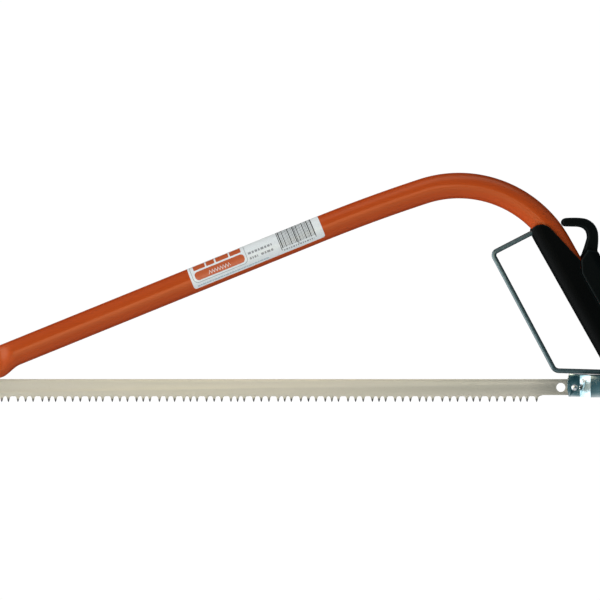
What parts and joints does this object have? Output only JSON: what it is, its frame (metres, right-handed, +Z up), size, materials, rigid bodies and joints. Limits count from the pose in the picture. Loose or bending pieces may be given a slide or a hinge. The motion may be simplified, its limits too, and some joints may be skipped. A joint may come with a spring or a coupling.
{
  "type": "bow saw",
  "caption": "Bow saw with a bent tube frame, a knuckle guard, an over-centre tension lever in the handle and a long peg-tooth blade.",
  "frame": {"origin": "middle of the underside of the saw's box at rest, with the saw upright and its blade level", "axes": "+X along the blade towards the handle, +Y from the labelled side to the far side, +Z up from the teeth to the frame"},
  "size_m": [0.615, 0.0328, 0.2015],
  "materials": {
    "frame_enamel": "glossy red-orange enamel",
    "label_paper": null,
    "black_plastic": "black moulded plastic with a fine grain",
    "guard_steel": "glossy blue-black coated rod",
    "plated_steel": "dark bright-plated sheet steel",
    "bright_steel": "bright rivet steel",
    "blade_steel": "warm grey satin blade steel, darker hardened tooth tips"
  },
  "bodies": {
    "frame": {"frame_tube": "frame_enamel", "frame_label": "label_paper", "tube_end_plug": "black_plastic", "knuckle_guard": "guard_steel", "front_grip": "black_plastic", "front_grip_screw_upper": "plated_steel", "front_grip_screw_lower": "plated_steel", "lever_pivot_pin": "bright_steel"},
    "lever": {"tension_lever": "plated_steel", "lever_grip": "black_plastic", "lever_grip_rivet_upper": "bright_steel", "lever_grip_rivet_lower": "bright_steel", "link_rivet_left": "bright_steel", "link_rivet_right": "bright_steel"},
    "clevis": {"blade_clevis": "plated_steel", "blade_rear_pin": "bright_steel"},
    "blade": {"saw_blade": "blade_steel", "nose_pin": "bright_steel", "nose_pin_washer": "plated_steel", "nose_pin_clip": "plated_steel"}
  },
  "joints": [
    {"name": "tension_lever_hinge", "type": "hinge", "parent": "frame", "child": "lever", "pos_m": [0.29273, 0, 0.01477], "axis": [0, 1, 0], "range_deg": [0, 95]},
    {"name": "clevis_link_hinge", "type": "hinge", "parent": "lever", "child": "clevis", "pos_m": [0.29913, 0, 0.0159], "axis": [0, 1, 0], "range_deg": [-95, 0]},
    {"name": "blade_rear_hinge", "type": "hinge", "parent": "clevis", "child": "blade", "pos_m": [0.23558, 0, 0.0159], "axis": [0, 1, 0], "range_deg": [0, 0.95]}
  ],
  "couplings": [
    {"joint": "clevis_link_hinge", "follows": "tension_lever_hinge", "ratio": -1},
    {"joint": "blade_rear_hinge", "follows": "tension_lever_hinge", "ratio": 0.0098}
  ]
}
